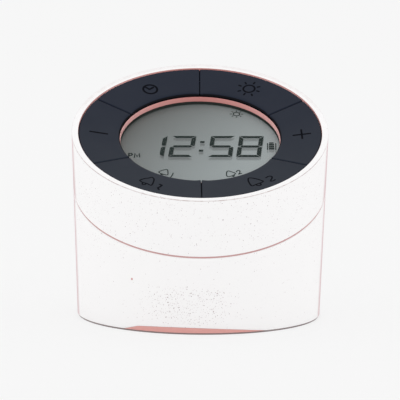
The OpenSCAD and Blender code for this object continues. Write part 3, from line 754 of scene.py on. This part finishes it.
def smooth(points, closed=False):
    """A curve through the points."""
    parts = 4
    count = len(points)
    result = []
    for i in range(count if closed else count - 1):
        p0, p1, p2, p3 = (
            Vector(points[k % count] if closed else points[min(max(k, 0), count - 1)])
            for k in (i - 1, i, i + 1, i + 2))
        for k in range(parts):
            t = k / parts
            result.append(tuple(0.5 * (
                2 * p1 + (p2 - p0) * t + (2 * p0 - 5 * p1 + 4 * p2 - p3) * t ** 2
                + (3 * p1 - p0 - 3 * p2 + p3) * t ** 3)))
    return result if closed else result + [points[-1]]


def circle(cx, cy, r, count=48):
    turns = [2 * math.pi * k / count for k in range(count)]
    return [(cx + r * math.cos(turn), cy + r * math.sin(turn)) for turn in turns]


def plate(points, height, thick):
    """Verts and faces of a thin plate with a given outline."""
    count = len(points)
    verts = [(x, y, height(x, y) + thick * level) for level in (0.5, -0.5) for x, y in points]
    faces = ring_faces(2, count, closed=False)
    return verts, faces + [tuple(range(count)), tuple(range(count, 2 * count))]


def drawing(name, parts, material, body):
    """One object out of several thin lines and plates."""
    verts, faces = [], []
    for part_verts, part_faces in parts:
        start = len(verts)
        verts += part_verts
        faces += [tuple(i + start for i in face) for face in part_faces]
    return new_object(name, verts, faces, material, body, sharp=60)


def key_icons():
    """The lines printed on the six keys, in places seen from above."""
    thick = 0.05

    def ink(points, closed=False, width=0.7):
        return stroke(split(points, closed), width, key_top_z, thick, closed)

    def curve(points, closed=False):
        return stroke(smooth(points, closed), 0.58, key_top_z, thick, closed)

    cx, cy = 19.74, 33.9
    ray_ends = ((18.35, 38.0), (22.1, 37.8), (24.0, 34.9), (23.6, 31.8), (20.9, 29.4),
                (17.6, 30.2), (15.4, 32.65), (15.8, 36.4))
    ray_length = 0.9
    sun = [ink(circle(cx, cy, 2.3), True)]
    for x, y in ray_ends:
        reach = math.hypot(x - cx, y - cy)
        sun.append(ink([(x, y), (x + (cx - x) * ray_length / reach,
                                 y + (cy - y) * ray_length / reach)]))
    icons = {
        "clock": [
            ink(circle(-19.78, 33.05, 2.8), True, 0.8),
            ink([(-21.6, 34.2), (-20.1, 32.95), (-18.6, 34.4)], width=0.8),
        ],
        "light": sun,
        "minus": [ink([(-42.8, 0.2), (-36.2, -0.25)], width=0.85)],
        "plus": [
            ink([(36.4, -0.3), (42.9, -0.1)], width=0.85),
            ink([(39.5, 3.2), (39.75, -3.2)]),
        ],
        "alarm_1": [
            curve([(-18.5, -30.9), (-19.7, -31.75), (-21.0, -32.2), (-22.2, -33.2),
                   (-23.0, -34.1), (-22.5, -35.0), (-21.6, -35.8), (-20.2, -36.4),
                   (-18.8, -37.7), (-18.15, -36.4), (-17.7, -33.7), (-17.7, -32.0)], True),
            curve([(-21.9, -35.9), (-22.0, -37.2), (-21.2, -37.4), (-20.6, -36.5)]),
            ink([(-15.5, -36.4), (-14.6, -37.1), (-15.3, -38.5), (-16.15, -39.5),
                 (-15.75, -40.9)]),
        ],
        "alarm_2": [
            curve([(18.3, -31.0), (19.5, -31.0), (20.9, -31.7), (22.2, -32.6), (23.2, -33.6),
                   (23.75, -34.2), (23.4, -34.9), (22.2, -35.7), (20.9, -36.6), (19.5, -37.6),
                   (18.9, -36.6), (18.4, -34.7), (18.1, -32.9)], True),
            curve([(21.0, -36.7), (21.5, -37.4), (22.5, -37.5), (22.9, -36.8), (22.6, -35.8)]),
            curve([(24.9, -31.4), (25.6, -30.6), (26.5, -30.3), (27.2, -31.0), (27.1, -32.3),
                   (26.7, -33.5), (26.6, -34.5), (27.5, -34.3), (28.3, -33.5)]),
        ],
    }
    for name, parts in icons.items():
        icon = drawing("icon_" + name, parts, MATERIALS["key_ink"], name + "_key")


# Display

# A digit's size, the row's foot from the middle, the digits' slant, and the row's turn by a hair
DIGIT_W = 9.5
DIGIT_H = 15.3
DIGIT_LOW = -6.42
SLANT = 0.105
ROW_TURN = 0.0105
# Depth of the signs, and how far they are moved so that they look in place through the window
SIGN_DEPTH = 6.15
SIGN_SHIFT = -1.31
# Thickness of the signs, and widths of their thin lines and of the letters
SIGN_T = 0.02
SIGN_LINE = 0.42
LETTER_LINE = 0.55
REFLECTOR_TOP = 6.2
# The signs' soft shadow on the reflector: how far each layer is moved and its shade, then the
# layers' thickness and the steps between them
SHADOWS = ((-2.3, 0.9), (-1.7, 0.8))
SHADOW_T = 0.005
SHADOW_STEP = 0.01

DIGITS = (("1", -23.7), ("2", -12.45), ("5", 2.8), ("8", 13.95))
SEGMENTS = {"1": "bc", "2": "abged", "5": "afgcd", "8": "abcdefg"}


def segment_outlines():
    """Outlines of the seven segments of an upright digit, from its lower left corner."""
    w, h = DIGIT_W, DIGIT_H
    # Thickness of the level and the upright segments, gap at the corners and at half height
    t, s, gap, joint = 1.55, 1.7, 0.2, 0.34
    mid = h / 2
    left, right = gap + 1.4, w - gap - 1.4
    above, below = mid + t / 2, mid - t / 2
    return {
        "a": [(gap, h), (w - gap, h), (w - gap - t, h - t), (gap + t, h - t)],
        "d": [(gap + t, t), (w - gap - t, t), (w - gap, 0), (gap, 0)],
        "g": [(gap + 0.7, mid), (left, above), (right, above), (w - gap - 0.7, mid),
              (right, below), (left, below)],
        "f": [(0, h - gap), (0, mid + joint + 0.4), (0.5, mid + joint), (s, above + gap),
              (s, h - s - gap)],
        "b": [(w, h - gap), (w - s, h - s - gap), (w - s, above + gap), (w - 0.5, mid + joint),
              (w, mid + joint + 0.4)],
        "e": [(0, gap), (s, s + gap), (s, below - gap), (0.5, mid - joint),
              (0, mid - joint - 0.4)],
        "c": [(w, gap), (w, mid - joint - 0.4), (w - 0.5, mid - joint), (w - s, below - gap),
              (w - s, s + gap)],
    }


def display_parts(depth, shift, thick):
    """The display's signs, or the part of them that casts a shadow if they are shifted."""
    height = plane_at(depth)
    outlines = segment_outlines()
    parts = []

    def shape(points):
        parts.append(plate([(x, y + SIGN_SHIFT + shift) for x, y in points], height, thick))

    def thin(points, closed=False, width=SIGN_LINE):
        moved = [(x, y + SIGN_SHIFT + shift) for x, y in points]
        parts.append(stroke(moved, width, height, thick, closed))

    for digit, left in DIGITS:
        low = DIGIT_LOW + ROW_TURN * left
        for letter in SEGMENTS[digit]:
            shape([(left + u + SLANT * v, low + v + ROW_TURN * u) for u, v in outlines[letter]])
    for cx, cy in ((0.95, 4.4), (0.4, -1.85)):
        shape([(cx - 0.9, cy - 0.7), (cx + 0.8, cy - 0.7), (cx + 0.9, cy + 0.7),
               (cx - 0.8, cy + 0.7)])
    # Battery: two rails and four bars, the uppermost smaller
    for x in (26.3, 29.5):
        thin([(x, -0.75), (x + 0.1, 3.8)])
    bars = ((4.1, 0.9, 27.0), (2.85, 1.1, 26.8), (1.4, 1.1, 26.8), (-0.05, 1.1, 26.8))
    for y, tall, left in bars:
        shape([(left, y - tall / 2), (55.7 - left, y - tall / 2), (55.8 - left, y + tall / 2),
               (left + 0.1, y + tall / 2)])
    if shift:
        return parts
    # Sun
    cx, cy = 14.6, 25.4
    thin(circle(cx, cy, 1.25, 32), True)
    for k in range(8):
        turn = math.pi * k / 4
        thin([(cx + r * math.cos(turn), cy + r * math.sin(turn)) for r in (1.9, 2.5)])
    # Half of the day
    thin([(-27.65, -6.9), (-27.6, -4.2), (-26.7, -4.1), (-26.25, -4.8), (-26.6, -5.6),
          (-27.4, -5.7)], width=LETTER_LINE)
    thin([(-25.45, -7.1), (-25.3, -4.2), (-24.4, -6.5), (-23.5, -4.1), (-23.4, -6.7)],
         width=LETTER_LINE)
    # Alarm signs
    thin(smooth([(-15.9, -17.3), (-14.7, -16.2), (-12.8, -15.5), (-12.4, -17.2), (-12.6, -19.3),
                 (-14.8, -18.5)], True), True)
    thin([(-15.1, -18.4), (-15.0, -19.2), (-14.3, -19.2)])
    thin([(-10.4, -18.0), (-10.6, -19.2), (-11.4, -21.0)])
    thin(smooth([(10.6, -16.2), (10.1, -17.9), (10.4, -20.1), (12.2, -19.6), (13.5, -18.0),
                 (12.2, -16.9)], True), True)
    thin([(12.2, -19.9), (12.8, -20.1), (13.1, -19.3)])
    thin(smooth([(13.9, -16.8), (14.3, -15.9), (14.95, -15.85), (15.3, -16.6), (15.15, -17.6),
                 (14.8, -18.4), (15.9, -17.8)]))
    return parts


def display():
    """The panel as it is layered: the signs in the glass and a grey reflector a little lower."""
    middle = (REFLECTOR_TOP + LCD_LOW) / 2
    disc = plate(circle(0, 0, LCD_R, 144), plane_at(middle), LCD_LOW - REFLECTOR_TOP)
    panel = drawing("lcd_reflector", [disc], MATERIALS["lcd_grey"], "housing")
    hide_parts("lcd_panel")
    parts = display_parts(SIGN_DEPTH, 0, SIGN_T)
    signs = drawing("lcd_signs", parts, MATERIALS["lcd_ink"], "housing")
    for number, (shift, shade) in enumerate(SHADOWS):
        name = "lcd_shadow_%d" % number
        parts = display_parts(REFLECTOR_TOP - SHADOW_STEP * (number + 1), shift, SHADOW_T)
        drawing(name, parts, lcd_grey(name, shade), "housing")


upper = swept("shell_upper", upper_section, MATERIALS["body_white"])
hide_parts("upper_housing")
lower = swept("shell_lower", lower_section, MATERIALS["body_white"])
cut_socket_slot(lower)
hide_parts("lower_housing")
# The two rings are rose where they show and dark elsewhere; the dark seen down the gaps between the keys stands in
# part for the shade there
liner = swept("recess_liner", liner_section, MATERIALS["rose_trim"])
second_material(liner, MATERIALS["black_plastic"],
                lambda x, y, z: depth_at(y, z) > LINER_ROSE_LOW)
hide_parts("rim_liner")
bezel = swept("recess_trim", bezel_section, MATERIALS["rose_trim"])
second_material(bezel, MATERIALS["black_plastic"],
                lambda x, y, z: math.hypot(x, y) > BEZEL_RI + 0.25)
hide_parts("display_bezel")
for key_name, key_angle in KEY_ANGLES.items():
    keycap(key_name, key_angle)
key_icons()
display()


# Stage, light and camera

PAPER = srgb(246, 246, 246)
# Share of the floor's own glow in what the camera sees of it
FLOOR_GLOW = 0.75
# Strength of the surroundings as a light, and how much stronger they are on the left and right
WORLD_LEVEL = 0.95
WORLD_SIDES = 0.32


def seen_share(tree):
    """One for the rays of the camera, of a reflection and through glass, which see the backdrop."""
    path = add(tree, "ShaderNodeLightPath").outputs
    clear = calc(tree, "MAXIMUM", path["Is Glossy Ray"], path["Is Transmission Ray"])
    return calc(tree, "MAXIMUM", path["Is Camera Ray"], clear)


def backdrop():
    """Pale floor that keeps the object's shadow and shows the backdrop's colour to the camera."""
    # Half the floor's width, in metres
    size = 3.0
    mesh = bpy.data.meshes.new("floor")
    corners = [(-size, -size, 0), (size, -size, 0), (size, size, 0), (-size, size, 0)]
    mesh.from_pydata(corners, [], [(0, 1, 2, 3)])
    floor = bpy.data.objects.new("floor", mesh)
    bpy.context.scene.collection.objects.link(floor)
    mat, shader, tree = new_material("floor", PAPER, 0.9, Specular_IOR_Level=0.0)
    glow = add(tree, "ShaderNodeEmission", {"Color": PAPER, "Strength": 1.0})
    share = times(tree, seen_share(tree), FLOOR_GLOW)
    blend = mix_shader(tree, share, shader.outputs[0], glow.outputs[0])
    tree.links.new(blend, tree.nodes["Material Output"].inputs["Surface"])
    floor.data.materials.append(mat)


def world_light():
    """Pale surroundings: even where they are seen, and as a light stronger from the two sides."""
    world = bpy.data.worlds.new("surroundings")
    bpy.context.scene.world = world
    world.use_nodes = True
    tree = world.node_tree
    seen = tree.nodes["Background"]
    seen.inputs["Color"].default_value = PAPER
    seen.inputs["Strength"].default_value = 1.0
    direction = add(tree, "ShaderNodeTexCoord").outputs["Generated"]
    sideways = add(tree, "ShaderNodeSeparateXYZ", {"Vector": direction}).outputs["X"]
    aside = calc(tree, "POWER", calc(tree, "ABSOLUTE", sideways), 2.0)
    level = calc(tree, "MULTIPLY_ADD", aside, WORLD_SIDES, WORLD_LEVEL)
    lit = add(tree, "ShaderNodeBackground", {"Color": (1, 1, 1, 1), "Strength": level})
    blend = mix_shader(tree, seen_share(tree), lit.outputs[0], seen.outputs[0])
    tree.links.new(blend, tree.nodes["World Output"].inputs["Surface"])


def area_light(name, place, target, size, power):
    """A round lamp, with its places and size in metres and its power in watts."""
    data = bpy.data.lights.new(name, "AREA")
    data.shape = "DISK"
    data.size = size
    data.energy = power
    lamp = bpy.data.objects.new(name, data)
    lamp.location = place
    lamp.rotation_euler = (Vector(target) - Vector(place)).to_track_quat("-Z", "Y").to_euler()
    bpy.context.scene.collection.objects.link(lamp)


def camera():
    """The photograph's viewpoint: a long lens from a little above."""
    azimuth = math.radians(-0.5437)
    elevation = math.radians(7.5933)
    roll = math.radians(0.5043)
    distance = 1172.34 * MM
    focal_px, picture_px = 3000, 400
    target = Vector((0.190, 0, 45.021)) * MM
    level = math.cos(elevation)
    back = Vector((math.sin(azimuth) * level, -math.cos(azimuth) * level, math.sin(elevation)))
    right = (-back).cross(Vector((0, 0, 1))).normalized()
    up = right.cross(-back)
    turned_right = right * math.cos(roll) + up * math.sin(roll)
    turned_up = up * math.cos(roll) - right * math.sin(roll)
    data = bpy.data.cameras.new("camera")
    data.sensor_width = 36
    data.lens = data.sensor_width * focal_px / picture_px
    eye = bpy.data.objects.new("camera", data)
    place = target + back * distance
    eye.matrix_world = Matrix((
        (turned_right.x, turned_up.x, back.x, place.x),
        (turned_right.y, turned_up.y, back.y, place.y),
        (turned_right.z, turned_up.z, back.z, place.z),
        (0, 0, 0, 1),
    ))
    bpy.context.scene.collection.objects.link(eye)
    bpy.context.scene.camera = eye


bpy.context.scene.view_settings.view_transform = "Standard"
backdrop()
world_light()
area_light("top_softbox", (0, 0.5, 0.9), (0, 0, 0.06), 0.5, 0.2)
camera()
